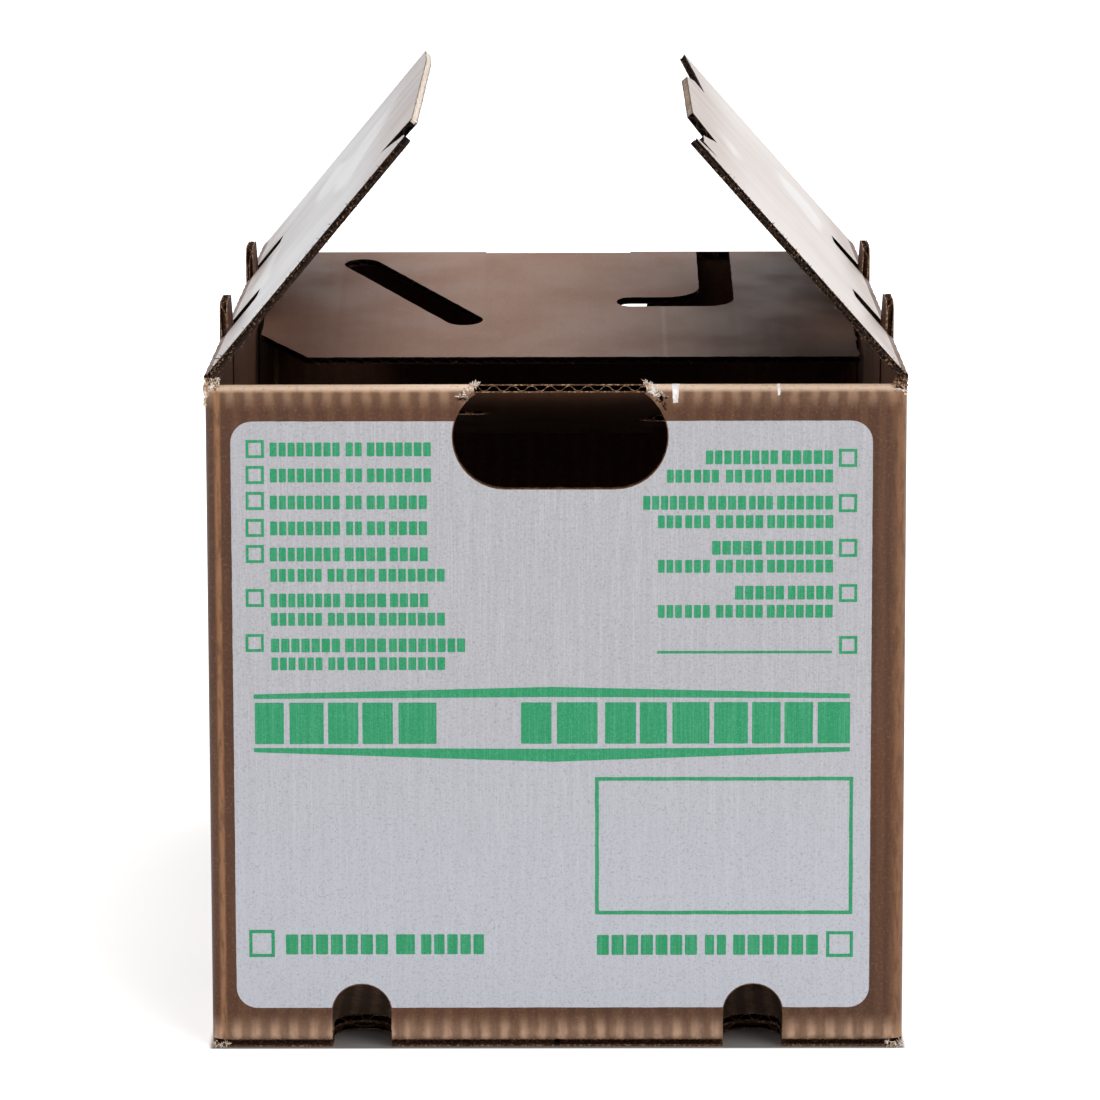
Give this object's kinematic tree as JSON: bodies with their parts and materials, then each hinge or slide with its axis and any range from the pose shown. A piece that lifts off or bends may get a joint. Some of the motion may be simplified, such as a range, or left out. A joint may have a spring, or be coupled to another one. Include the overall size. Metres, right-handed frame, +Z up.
{
  "type": "produce carton",
  "caption": "Waxed corrugated carton with hand holes, drain notches and stacking tabs; its slotted end flaps are tucked in and its long flaps hinge open and shut.",
  "frame": {"origin": "centre of the base, on the surface that the carton stands on", "axes": "+Z up, +Y from the printed front end to the back end along the length, +X towards the right side seen from the front end"},
  "size_m": [0.312, 0.508, 0.413],
  "materials": {
    "waxed_board": "waxed kraft board, soft gloss"
  },
  "bodies": {
    "carton": {"carton": "waxed_board"},
    "left_flap": {"left_flap": "waxed_board"},
    "right_flap": {"right_flap": "waxed_board"}
  },
  "joints": [
    {"name": "left_flap_fold", "type": "hinge", "parent": "carton", "child": "left_flap", "pos_m": [-0.155, 0, 0.3049], "axis": [0, -1, 0], "range_deg": [-49.8, 217.2]},
    {"name": "right_flap_fold", "type": "hinge", "parent": "carton", "child": "right_flap", "pos_m": [0.155, 0, 0.3049], "axis": [0, 1, 0], "range_deg": [-48.3, 218.7]}
  ]
}
